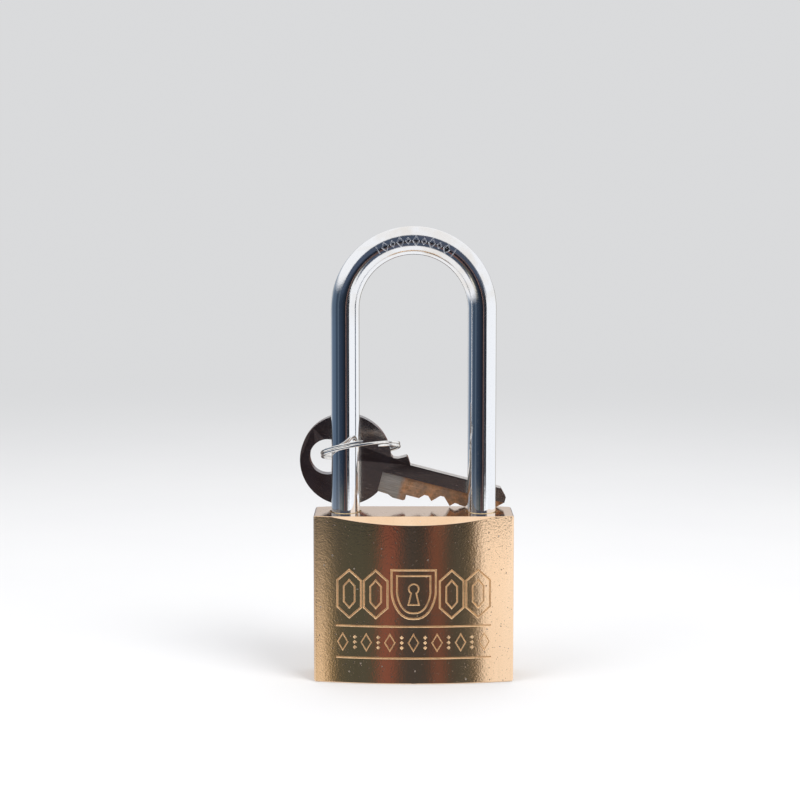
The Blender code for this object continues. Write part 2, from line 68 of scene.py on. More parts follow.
class Nodes:
    """A material's node tree with short calls."""

    def __init__(self, name):
        self.mat = bpy.data.materials.new(name)
        self.mat.use_nodes = True
        self.nt = self.mat.node_tree
        self.bsdf = self.nt.nodes["Principled BSDF"]

    def add(self, kind, **values):
        n = self.nt.nodes.new(kind)
        for k, v in values.items():
            setattr(n, k, v)
        return n

    def wire(self, src, dst):
        self.nt.links.new(src, dst)

    def coords(self, scale=(1, 1, 1), turn=(0, 0, 0)):
        """Object coordinates in millimetres, stretched by scale."""
        tc = self.add("ShaderNodeTexCoord")
        mp = self.add("ShaderNodeMapping")
        mp.inputs["Scale"].default_value = tuple(1000 * s for s in scale)
        mp.inputs["Rotation"].default_value = turn
        self.wire(tc.outputs["Object"], mp.inputs["Vector"])
        return mp.outputs["Vector"]

    def tilted(self, turn, scale=(1, 1, 1)):
        """Millimetre coordinates along a tilted piece's own axes."""
        tc = self.add("ShaderNodeTexCoord")
        mp = self.add("ShaderNodeMapping", vector_type="TEXTURE")
        mp.inputs["Rotation"].default_value = tuple(turn.to_euler())
        mp.inputs["Scale"].default_value = tuple(MM / s for s in scale)
        self.wire(tc.outputs["Object"], mp.inputs["Vector"])
        return mp.outputs["Vector"]

    def noise(self, vec, scale, detail=3.0, rough=0.5, distort=0.0):
        n = self.add("ShaderNodeTexNoise")
        n.inputs["Scale"].default_value = scale
        n.inputs["Detail"].default_value = detail
        n.inputs["Roughness"].default_value = rough
        n.inputs["Distortion"].default_value = distort
        self.wire(vec, n.inputs["Vector"])
        return n.outputs["Fac"]

    def voronoi(self, vec, scale, feature="F1"):
        n = self.add("ShaderNodeTexVoronoi", feature=feature)
        n.inputs["Scale"].default_value = scale
        self.wire(vec, n.inputs["Vector"])
        return n.outputs["Distance"]

    def ramp(self, fac, stops, interp="LINEAR"):
        n = self.add("ShaderNodeValToRGB")
        cr = n.color_ramp
        cr.interpolation = interp
        while len(cr.elements) < len(stops):
            cr.elements.new(0.5)
        for e, (p, c) in zip(cr.elements, stops):
            e.position = p
            e.color = (*c, 1) if len(c) == 3 else c
        self.wire(fac, n.inputs["Fac"])
        return n.outputs["Color"]

    def remap(self, fac, lo, hi, a=0.0, b=1.0):
        n = self.add("ShaderNodeMapRange")
        for k, v in (("From Min", lo), ("From Max", hi), ("To Min", a), ("To Max", b)):
            n.inputs[k].default_value = v
        self.wire(fac, n.inputs["Value"])
        return n.outputs["Result"]

    def math(self, op, a, b=0.0):
        n = self.add("ShaderNodeMath", operation=op)
        for i, v in enumerate((a, b)):
            if isinstance(v, (int, float)):
                n.inputs[i].default_value = v
            else:
                self.wire(v, n.inputs[i])
        return n.outputs[0]

    def mix(self, fac, a, b, blend="MIX"):
        n = self.add("ShaderNodeMix", data_type="RGBA", blend_type=blend)
        for i, v in ((0, fac), (6, a), (7, b)):
            if isinstance(v, (int, float)):
                n.inputs[i].default_value = v
            elif isinstance(v, tuple):
                n.inputs[i].default_value = (*v, 1)
            else:
                self.wire(v, n.inputs[i])
        return n.outputs[2]

    def bump(self, layers):
        """Chain of (height, strength, distance in mm)."""
        last = None
        for height, strength, dist in layers:
            b = self.add("ShaderNodeBump")
            b.inputs["Strength"].default_value = strength
            b.inputs["Distance"].default_value = dist * MM
            self.wire(height, b.inputs["Height"])
            if last is not None:
                self.wire(last, b.inputs["Normal"])
            last = b.outputs["Normal"]
        self.wire(last, self.bsdf.inputs["Normal"])

    def finish(self, colour=None, rough=None, metal=1.0, spec=None):
        if colour is not None:
            if isinstance(colour, tuple):
                self.bsdf.inputs["Base Color"].default_value = (*colour, 1)
            else:
                self.wire(colour, self.bsdf.inputs["Base Color"])
        if rough is not None:
            if isinstance(rough, (int, float)):
                self.bsdf.inputs["Roughness"].default_value = rough
            else:
                self.wire(rough, self.bsdf.inputs["Roughness"])
        self.bsdf.inputs["Metallic"].default_value = metal
        return self.mat


def brass_body_material():
    """Polished rolled brass: fine orange-peel grain, faint upright polishing lines, brown toning and specks."""
    m = Nodes("brass_body")
    iso = m.coords()
    grain = m.noise(iso, 2.0, 2.0, 0.6)
    fine = m.noise(iso, 4.2, 2.0, 0.6)
    peel = m.noise(iso, 0.55, 2.0, 0.5)
    lines = m.noise(m.coords((1.0, 1.0, 0.03)), 2.0, 3.0, 0.6)
    wide = m.noise(m.coords((1.0, 1.0, 0.10)), 0.15, 2.0, 0.5, 0.2)
    specks = m.voronoi(iso, 0.85)
    pits = m.voronoi(iso, 0.62)
    dents = m.voronoi(iso, 1.15)
    hair = m.noise(m.coords((0.035, 1.0, 1.3)), 3.2, 2.0, 0.55, 0.6)
    patch = m.noise(iso, 0.12, 2.0)
    scratch = m.math("MULTIPLY", m.remap(hair, 0.715, 0.75), m.remap(patch, 0.42, 0.60))
    fleck = m.remap(m.voronoi(iso, 0.27), 0.072, 0.050)
    tone = m.mix(m.remap(wide, 0.40, 0.70, 0.0, 0.7), (0.94, 0.68, 0.46), (0.88, 0.60, 0.375))
    tone = m.mix(m.remap(lines, 0.55, 0.8, 0.0, 0.16), tone, (0.66, 0.42, 0.24))
    tone = m.mix(m.remap(grain, 0.58, 0.74, 0.0, 0.20), tone, (0.64, 0.46, 0.28))
    tone = m.mix(m.remap(specks, 0.060, 0.03, 0.0, 0.7), tone, (0.24, 0.16, 0.10))
    tone = m.mix(m.math("MULTIPLY", fleck, 0.7), tone, (0.97, 0.86, 0.72))
    rough = m.math("ADD", m.remap(fine, 0.35, 0.7, 0.07, 0.10), m.remap(pits, 0.12, 0.02, 0.0, 0.10))
    rough = m.math("ADD", rough, m.math("MULTIPLY", scratch, 0.10))
    rough = m.math("ADD", rough, m.math("MULTIPLY", fleck, 0.40))
    m.bump([(peel, 0.35, 0.012), (grain, 0.75, 0.0135), (fine, 0.50, 0.006), (lines, 0.25, 0.004),
            (scratch, 0.3, 0.004),
            (m.remap(pits, 0.115, 0.02, 1.0, 0.0), 0.9, 0.034), (m.remap(dents, 0.125, 0.03, 1.0, 0.0), 0.8, 0.020)])
    return m.finish(tone, rough)


def brass_cut_material(name="brass_cut", rough0=0.30):
    """Freshly cut brass inside engraving, bores and bevels: brighter, with fine tool chatter."""
    m = Nodes(name)
    iso = m.coords()
    n = m.noise(iso, 5.0, 3.0)
    tone = m.mix(m.remap(n, 0.35, 0.7), (0.98, 0.74, 0.42), (0.86, 0.60, 0.31))
    m.bump([(n, 0.5, 0.012)])
    return m.finish(tone, m.remap(n, 0.3, 0.7, rough0, rough0 + 0.14))


def brass_engraved_material():
    """Walls of the rolled-in engraving: matte yellow-orange brass made bright as a painted highlight on the strokes,
    darker in patches at intervals.
    """
    m = Nodes("brass_engraved")
    iso = m.coords()
    n = m.noise(iso, 3.0, 3.0, 0.6)
    slow = m.noise(iso, 0.45, 2.0)
    # Painted highlight: the strokes' bright base tone
    tone = m.mix(m.remap(n, 0.38, 0.70), (0.96, 0.67, 0.39), (0.74, 0.46, 0.24))
    tone = m.mix(m.remap(slow, 0.52, 0.72, 0.0, 0.45), tone, (0.46, 0.29, 0.16))
    m.bump([(n, 0.6, 0.016)])
    return m.finish(tone, m.remap(n, 0.3, 0.7, 0.26, 0.38), metal=0.62)


def turned_brass_material(name, centre, axis, base, dark):
    """Lathe-turned brass: rings round an axis through a point, in millimetres."""
    m = Nodes(name)
    tc = m.add("ShaderNodeTexCoord")
    mp = m.add("ShaderNodeMapping")
    mp.inputs["Location"].default_value = tuple(-c for c in centre)
    mp.inputs["Scale"].default_value = (1000, 1000, 1000)
    m.wire(tc.outputs["Object"], mp.inputs["Vector"])
    sep = m.add("ShaderNodeSeparateXYZ")
    m.wire(mp.outputs["Vector"], sep.inputs[0])
    a, b = {"X": (1, 2), "Z": (0, 1), "Y": (0, 2)}[axis]
    r2 = m.math("ADD", m.math("MULTIPLY", sep.outputs[a], sep.outputs[a]),
                m.math("MULTIPLY", sep.outputs[b], sep.outputs[b]))
    r = m.math("SQRT", r2)
    rings = m.math("SINE", m.math("MULTIPLY", r, 42.0))
    n = m.noise(m.coords(), 2.6, 3.0)
    tone = m.mix(m.remap(n, 0.35, 0.72), base, dark)
    m.bump([(rings, 0.3, 0.006), (n, 0.3, 0.015)])
    return m.finish(tone, m.remap(n, 0.3, 0.7, 0.24, 0.38))


def chrome_material():
    """Polished chrome with hairline scratches, coarser where the rod was bent into the arch."""
    m = Nodes("chrome_rod")
    iso = m.coords()
    tc = m.add("ShaderNodeTexCoord")
    sep = m.add("ShaderNodeSeparateXYZ")
    m.wire(tc.outputs["Object"], sep.inputs[0])
    bend = m.remap(sep.outputs[2], 0.088, 0.098)
    ripple = m.noise(m.coords((1.0, 1.0, 0.05)), 1.1, 2.0, 0.4)
    peel = m.noise(iso, 1.9, 3.0, 0.55)
    fine = m.noise(iso, 5.0, 3.0, 0.6)
    scr = m.noise(m.coords((1.0, 1.0, 0.03)), 6.0, 2.0, 0.7)
    dust = m.voronoi(iso, 0.75)
    tone = m.mix(m.remap(fine, 0.45, 0.75, 0.0, 0.35), (0.86, 0.875, 0.90), (0.64, 0.66, 0.70))
    tone = m.mix(m.remap(dust, 0.055, 0.03, 0.0, 0.5), tone, (0.35, 0.34, 0.34))
    cloud = m.noise(iso, 0.16, 3.0, 0.55, 0.3)
    tone = m.mix(m.math("MULTIPLY", bend, m.remap(cloud, 0.44, 0.66, 0.05, 0.75)), tone, (0.76, 0.725, 0.675))
    rough = m.math("ADD", m.remap(scr, 0.52, 0.75, 0.05, 0.12), m.math("MULTIPLY", bend, 0.05))
    deep = m.math("MULTIPLY", peel, m.remap(bend, 0.0, 1.0, 0.15, 1.0))
    m.bump([(ripple, 0.22, 0.016), (deep, 0.40, 0.020), (fine, 0.16, 0.004), (scr, 0.15, 0.003),
            (m.math("MULTIPLY", fine, bend), 0.55, 0.009)])
    return m.finish(tone, rough)


def stamp_material():
    m = Nodes("stamped_mark")
    n = m.noise(m.coords(), 8.0, 3.0)
    tone = m.mix(m.remap(n, 0.35, 0.7), (0.90, 0.92, 0.95), (0.70, 0.72, 0.76))
    m.bump([(n, 0.5, 0.008)])
    return m.finish(tone, m.remap(n, 0.3, 0.7, 0.30, 0.45))


def steel_material(name, base, dark, r0, r1, stretch=(1, 1, 1), scale=3.0, depth=0.01):
    m = Nodes(name)
    n = m.noise(m.coords(stretch), scale, 4.0, 0.6)
    g = m.noise(m.coords(), 7.0, 2.0)
    tone = m.mix(m.remap(n, 0.35, 0.72), base, dark)
    m.bump([(n, 0.4, depth), (g, 0.2, 0.005)])
    return m.finish(tone, m.remap(n, 0.3, 0.7, r0, r1))


KEY_TURN = Matrix(((math.cos(KEY_TILT), math.sin(KEY_TILT), 0), (0, 0, -1),
                   (-math.sin(KEY_TILT), math.cos(KEY_TILT), 0)))


def key_material():
    """Nickel-plated key blank: dark reflective plating with fine grain and handling marks; a painted highlight lightens
    its sharp edges.
    """
    m = Nodes("key_plate")
    iso = m.coords()
    grain = m.noise(iso, 4.5, 3.0, 0.6)
    blot = m.noise(iso, 0.30, 3.0, 0.5, 0.4)
    scr = m.noise(m.tilted(KEY_TURN, (0.12, 2.2, 1.0)), 2.4, 3.0, 0.65)
    specks = m.voronoi(iso, 0.8)
    tone = m.mix(m.remap(blot, 0.38, 0.66), (0.30, 0.275, 0.285), (0.255, 0.205, 0.19))
    tone = m.mix(m.remap(grain, 0.55, 0.8, 0.0, 0.22), tone, (0.20, 0.16, 0.15))
    tone = m.mix(m.remap(specks, 0.060, 0.03, 0.0, 0.8), tone, (0.74, 0.71, 0.67))
    # Painted highlight: sharp edges (high pointiness) are lightened towards pale nickel
    geo = m.add("ShaderNodeNewGeometry")
    tone = m.mix(m.remap(geo.outputs["Pointiness"], 0.53, 0.60, 0.0, 0.85), tone, (0.86, 0.79, 0.70))
    rough = m.math("ADD", m.remap(grain, 0.3, 0.7, 0.15, 0.22), m.remap(scr, 0.55, 0.75, 0.0, 0.10))
    m.bump([(blot, 0.25, 0.05), (grain, 0.30, 0.006), (scr, 0.22, 0.006)])
    return m.finish(tone, rough)


def key_mill_material():
    """Milled flank of the blade: straight cutter marks, grey near the shoulder and bronze along the blade."""
    m = Nodes("key_milled")
    own = m.tilted(KEY_TURN)
    sep = m.add("ShaderNodeSeparateXYZ")
    m.wire(own, sep.inputs[0])
    lines = m.noise(m.tilted(KEY_TURN, (0.10, 4.0, 1.0)), 1.6, 2.0, 0.7)
    n = m.noise(m.coords(), 1.0, 4.0, 0.6)
    big = m.noise(m.coords(), 0.28, 3.0, 0.5)
    bronze = m.mix(m.remap(n, 0.40, 0.66), (0.86, 0.47, 0.25), (0.47, 0.255, 0.14))
    bronze = m.mix(m.remap(big, 0.42, 0.62, 0.0, 0.6), bronze, (0.34, 0.27, 0.22))
    grey = m.mix(m.remap(lines, 0.38, 0.66), (0.60, 0.565, 0.52), (0.29, 0.27, 0.25))
    edge = m.math("ADD", sep.outputs[0], m.math("MULTIPLY", n, 2.0))
    tone = m.mix(m.remap(edge, 20.6, 21.6), grey, bronze)
    tone = m.mix(m.remap(lines, 0.58, 0.74, 0.0, 0.7), tone, (1.0, 0.74, 0.48))
    m.bump([(lines, 0.6, 0.022), (n, 0.3, 0.012)])
    return m.finish(tone, m.remap(n, 0.3, 0.7, 0.28, 0.42), metal=0.62)


def key_edge_highlight_material():
    """Chamfer round the key: a pale nickel tone as a painted highlight, so the rim shows light whatever it mirrors."""
    m = Nodes("key_edge")
    n = m.noise(m.coords(), 2.4, 3.0, 0.6)
    slow = m.noise(m.coords(), 0.35, 2.0)
    # Painted highlight: pale tone for the chamfer, with darker patches at random
    tone = m.mix(m.remap(n, 0.36, 0.68), (0.86, 0.78, 0.70), (0.50, 0.43, 0.38))
    tone = m.mix(m.remap(slow, 0.50, 0.70, 0.0, 0.75), tone, (0.26, 0.22, 0.21))
    m.bump([(n, 0.5, 0.012)])
    return m.finish(tone, m.remap(n, 0.3, 0.7, 0.22, 0.36), metal=0.70)


def floor_material():
    """Pale matte floor that fades into the plain background with distance."""
    m = Nodes("floor_pale")
    n = m.noise(m.coords(), 0.015, 4.0)
    tc = m.add("ShaderNodeTexCoord")
    ln = m.add("ShaderNodeVectorMath", operation="LENGTH")
    m.wire(tc.outputs["Object"], ln.inputs[0])
    far = m.add("ShaderNodeMapRange", interpolation_type="SMOOTHSTEP")
    far.inputs["From Min"].default_value, far.inputs["From Max"].default_value = 0.10, 0.75
    m.wire(ln.outputs["Value"], far.inputs["Value"])
    fade = far.outputs["Result"]
    near = m.mix(m.remap(n, 0.3, 0.7), (0.74, 0.74, 0.74), (0.725, 0.725, 0.73))
    m.wire(m.mix(fade, (0, 0, 0), BACKDROP), m.bsdf.inputs["Emission Color"])
    m.bsdf.inputs["Emission Strength"].default_value = 1.0
    m.bsdf.inputs["Specular IOR Level"].default_value = 0.0
    return m.finish(m.mix(fade, near, (0, 0, 0)), 0.8, metal=0.0)


BACKDROP = (0.70, 0.705, 0.715)
BRASS = brass_body_material()
BRASS_CUT = brass_cut_material()
BRASS_ENGRAVED = brass_engraved_material()
CHROME = chrome_material()
STAMP = stamp_material()
KEY_PLATE = key_material()
KEY_MILL = key_mill_material()
KEY_EDGE_HIGHLIGHT = key_edge_highlight_material()
RING_MAT = steel_material("ring_wire", (0.90, 0.89, 0.87), (0.66, 0.64, 0.61), 0.10, 0.20, (1, 1, 1), 2.0)
LATCH_MAT = steel_material("latch_machined", (0.56, 0.56, 0.57), (0.36, 0.36, 0.38), 0.28, 0.42, (0.2, 3, 3), 2.0)
SPRING_MAT = steel_material("spring_wire", (0.52, 0.53, 0.55), (0.30, 0.31, 0.33), 0.22, 0.36, (1, 1, 1), 4.0)
PLUG_MAT = turned_brass_material("plug_turned", (0, 0, 0), "Z", (0.86, 0.66, 0.40), (0.62, 0.44, 0.25))
PIN_MAT = turned_brass_material("pin_turned", (0, 0, 0), "Z", (0.88, 0.67, 0.41), (0.66, 0.46, 0.26))


# ---------------------------------------------------------------- mesh helpers

def new_object(name, bm, mats=(), location=None):
    me = bpy.data.meshes.new(name)
    bm.to_mesh(me)
    bm.free()
    ob = bpy.data.objects.new(name, me)
    coll.objects.link(ob)
    for mt in mats:
        me.materials.append(mt)
    if location is not None:
        ob.location = tuple(c * MM for c in location)
    return ob


def outward(bm):
    """Consistent normals that point out of the closed shape."""
    bmesh.ops.recalc_face_normals(bm, faces=bm.faces)
    if bm.calc_volume(signed=True) < 0:
        bmesh.ops.reverse_faces(bm, faces=bm.faces)


def loft(rings, close=True, cap=True):
    """Quads between equal rings of points (mm), with flat ends."""
    bm = bmesh.new()
    rows = [[bm.verts.new(Vector(p) * MM) for p in ring] for ring in rings]
    n = len(rows[0])
    for a, b in zip(rows, rows[1:]):
        for i in range(n if close else n - 1):
            j = (i + 1) % n
            bm.faces.new((a[i], a[j], b[j], b[i]))
    if cap:
        bm.faces.new(list(reversed(rows[0])))
        bm.faces.new(rows[-1])
    outward(bm)
    return bm


def cone(name, r1, r2, length, n, mats=()):
    bm = bmesh.new()
    bmesh.ops.create_cone(bm, cap_ends=True, segments=n, radius1=r1 * MM, radius2=r2 * MM,
                          depth=length * MM, matrix=Matrix.Translation((0, 0, length * MM / 2)))
    return new_object(name, bm, mats)


def lathe(name, profile, n, mats=(), closed=False):
    """Turned piece from (radius, z) pairs; a profile that isn't closed starts and ends on the axis."""
    rows = []
    for i in range(n):
        a = 2 * math.pi * i / n
        rows.append([(r * math.cos(a), r * math.sin(a), z) for r, z in profile])
    bm = bmesh.new()
    vs = [[bm.verts.new(Vector(p) * MM) for p in row] for row in rows]
    k = len(profile)
    for i in range(n):
        a, b = vs[i], vs[(i + 1) % n]
        for j in range(k if closed else k - 1):
            m = (j + 1) % k
            bm.faces.new((a[j], b[j], b[m], a[m]))
    bmesh.ops.remove_doubles(bm, verts=bm.verts, dist=1e-7)
    outward(bm)
    return new_object(name, bm, mats)


def plate(name, loops, thick, mats=()):
    """Flat outlines (mm) in the local XY plane, filled and given a thickness."""
    cu = bpy.data.curves.new(name + "_c", "CURVE")
    cu.dimensions, cu.fill_mode, cu.extrude = "2D", "BOTH", thick * MM / 2
    for pts in loops:
        sp = cu.splines.new("POLY")
        sp.points.add(len(pts) - 1)
        for p, (x, y) in zip(sp.points, pts):
            p.co = (x * MM, y * MM, 0, 1)
        sp.use_cyclic_u = True
    tmp = bpy.data.objects.new(name + "_c", cu)
    coll.objects.link(tmp)
    bpy.context.view_layer.update()
    me = bpy.data.meshes.new_from_object(tmp.evaluated_get(bpy.context.evaluated_depsgraph_get()))
    bpy.data.objects.remove(tmp, do_unlink=True)
    bm = bmesh.new()
    bm.from_mesh(me)
    bmesh.ops.remove_doubles(bm, verts=bm.verts, dist=1e-6)
    bmesh.ops.dissolve_limit(bm, angle_limit=math.radians(0.5), verts=bm.verts, edges=bm.edges)
    outward(bm)
    for f in bm.faces:
        f.material_index = 0
    return new_object(name, bm, mats)


def boxm(name, lo, hi, mats=()):
    lo, hi = Vector(lo) * MM, Vector(hi) * MM
    bm = bmesh.new()
    bmesh.ops.create_cube(bm, size=1.0, matrix=Matrix.Translation((lo + hi) / 2) @ Matrix.Diagonal((*(hi - lo), 1)))
    return new_object(name, bm, mats)


def settle(ob):
    """Replace an object's mesh by its evaluated one and drop its modifiers."""
    bpy.context.view_layer.update()
    me = bpy.data.meshes.new_from_object(ob.evaluated_get(bpy.context.evaluated_depsgraph_get()))
    ob.modifiers.clear()
    ob.data = me
    return ob


def carve(ob, cutters, op="DIFFERENCE"):
    """Boolean against each cutter in turn; the cutters' materials come along."""
    for c in cutters:
        mod = ob.modifiers.new("b", "BOOLEAN")
        mod.operation, mod.solver, mod.object = op, "EXACT", c
        mod.material_mode = "TRANSFER"
    settle(ob)
    for c in cutters:
        bpy.data.objects.remove(c, do_unlink=True)
    return ob


def clean_shade(ob, angle=32.0, weighted=True):
    me = ob.data
    for p in me.polygons:
        p.use_smooth = True
    me.set_sharp_from_angle(angle=math.radians(angle))
    if weighted:
        wn = ob.modifiers.new("wn", "WEIGHTED_NORMAL")
        wn.keep_sharp = True
        wn.weight = 60
    return ob


def soften(ob, width, segments=2, angle=35.0):
    bv = ob.modifiers.new("edge", "BEVEL")
    bv.width, bv.segments, bv.limit_method = width * MM, segments, "ANGLE"
    bv.angle_limit = math.radians(angle)
    bv.use_clamp_overlap = True
    return settle(ob)


def face_y(x):
    r = (BODY_HALF_W ** 2 + BODY_SAG ** 2) / (2 * BODY_SAG)
    return BODY_HALF_T - (r - math.sqrt(r * r - x * x))


# ---------------------------------------------------------------- body

def body_ring(x, hy, z0, z1, r):
    """One upright slice of the body with eased edges and the 45 degree flats along its top."""
    plane = BODY_H + BODY_HALF_T - TOP_BEVEL        # z - y on the front flat
    front = []
    for k in range(4):                              # bottom edge
        a = math.radians(-90 - 90 * k / 3)
        front.append((-hy + r + r * math.cos(a), z0 + r + r * math.sin(a)))
    iy, iz = -hy + r, z1 - r
    lim = plane - r * math.sqrt(2)
    if iz - iy > lim:
        pa, pb = (iy, lim + iy), (iz - lim, iz)
    else:
        pa = pb = (iy, iz)
    rows = 9
    zlo, zhi = z0 + r, pa[1]
    for k in range(1, rows):
        front.append((-hy, zlo + (zhi - zlo) * k / rows))
    for k in range(4):
        a = math.radians(180 - 45 * k / 3)
        front.append((pa[0] + r * math.cos(a), pa[1] + r * math.sin(a)))
    for k in range(4):
        a = math.radians(135 - 45 * k / 3)
        front.append((pb[0] + r * math.cos(a) + (1e-4 if k == 0 else 0), pb[1] + r * math.sin(a) + (1e-4 if k == 0 else 0)))
    back = [(-y, z) for y, z in reversed(front)]
    return [(x, y, z) for y, z in front + back]


def hexagon(cx, cz, rx, rz):
    """Upright hexagon stretched to rx across the flats and rz to its points."""
    pts = [(cx, cz + rz), (cx + rx, cz + 0.56 * rz), (cx + rx, cz - 0.56 * rz), (cx, cz - rz),
           (cx - rx, cz - 0.56 * rz), (cx - rx, cz + 0.56 * rz)]
    return pts + [pts[0]]


def shield(cx, cz, w, h):
    pts = [(-w / 2, h / 2), (-w / 4, h / 2 + 0.0), (0, h / 2 + 0.0), (w / 4, h / 2), (w / 2, h / 2), (w / 2, 0.06 * h)]
    n = 10
    for k in range(1, n):
        t = k / n
        pts.append((w / 2 * math.cos(t * math.pi / 2) ** 0.8, 0.06 * h - (0.56 * h) * math.sin(t * math.pi / 2) ** 1.25))
    pts.append((0, -h / 2))
    left = [(-x, z) for x, z in reversed(pts[5:-1])]
    out = [(cx + x, cz + z) for x, z in pts + left]
    return out + [out[0]]


def keyhole(cx, cz, s):
    pts = []
    for k in range(17):
        a = math.radians(-60 + 300 * k / 16)
        pts.append((cx + s * math.cos(a), cz + s * 0.9 + s * math.sin(a)))
    pts += [(cx - s * 1.05, cz - s * 2.3), (cx + s * 1.05, cz - s * 2.3)]
    return pts + [pts[0]]


def dense(path, step=0.9):
    out = [path[0]]
    for (x0, z0), (x1, z1) in zip(path, path[1:]):
        n = max(1, int(math.hypot(x1 - x0, z1 - z0) / step + 0.5))
        for k in range(1, n + 1):
            out.append((x0 + (x1 - x0) * k / n, z0 + (z1 - z0) * k / n))
    return out


def arch_y(x, z):
    d = math.hypot(x, z - ARCH_Z) - LEG_X
    return math.sqrt(max(0.0, ROD_R ** 2 - d * d))


def body_y(x, z):
    return face_y(max(-24.9, min(24.9, x)))


def groove(name, path, half, depth, surf=body_y, mat=None):
    """Flat-bottomed engraving cutter that follows a curved front along an (x, z) path."""
    closed = math.dist(path[0], path[-1]) < 1e-6
    pts = dense(path)
    if closed:
        pts = pts[:-1]
    n = len(pts)
    rings = []
    for i, (x, z) in enumerate(pts):
        if closed:
            p0, p1 = pts[i - 1], pts[(i + 1) % n]
        else:
            p0, p1 = pts[max(0, i - 1)], pts[min(n - 1, i + 1)]
        d1 = Vector((x - p0[0], z - p0[1]))
        d2 = Vector((p1[0] - x, p1[1] - z))
        if d1.length < 1e-6:
            d1 = d2
        if d2.length < 1e-6:
            d2 = d1
        t = (d1.normalized() + d2.normalized()).normalized()
        nrm = Vector((-t[1], t[0])) * (1.0 / max(0.5, t.dot(d2.normalized())))
        ring = []
        for off, dep in ((-half * 1.5, -0.117), (half * 1.5, -0.117), (half * 0.16, depth), (-half * 0.16, depth)):
            px, pz = x + nrm[0] * off, z + nrm[1] * off
            ring.append((px, -(surf(px, pz) - dep), pz))
        rings.append(ring)
    if closed:
        bm = bmesh.new()
        rows = [[bm.verts.new(Vector(p) * MM) for p in ring] for ring in rings]
        for a, b in zip(rows, rows[1:] + rows[:1]):
            for i in range(4):
                j = (i + 1) % 4
                bm.faces.new((a[i], a[j], b[j], b[i]))
        outward(bm)
    else:
        bm = loft(rings)
    return new_object(name, bm, (mat or BRASS_ENGRAVED,))


def punch(name, cx, cz, w, h, depth, surf=body_y, mat=None):
    """Punched lozenge: a four-sided point driven into the front."""
    y = surf(cx, cz)
    bm = bmesh.new()
    k = 1.0 + 0.3 / depth
    rim = [bm.verts.new(Vector((cx + sx * w * k, -(y + 0.3), cz + sz * h * k)) * MM)
           for sx, sz in ((1, 0), (0, 1), (-1, 0), (0, -1))]
    tip = bm.verts.new(Vector((cx, -(y - depth), cz)) * MM)
    bm.faces.new(rim)
    for i in range(4):
        bm.faces.new((rim[i], rim[(i + 1) % 4], tip))
    outward(bm)
    return new_object(name, bm, (mat or BRASS_ENGRAVED,))


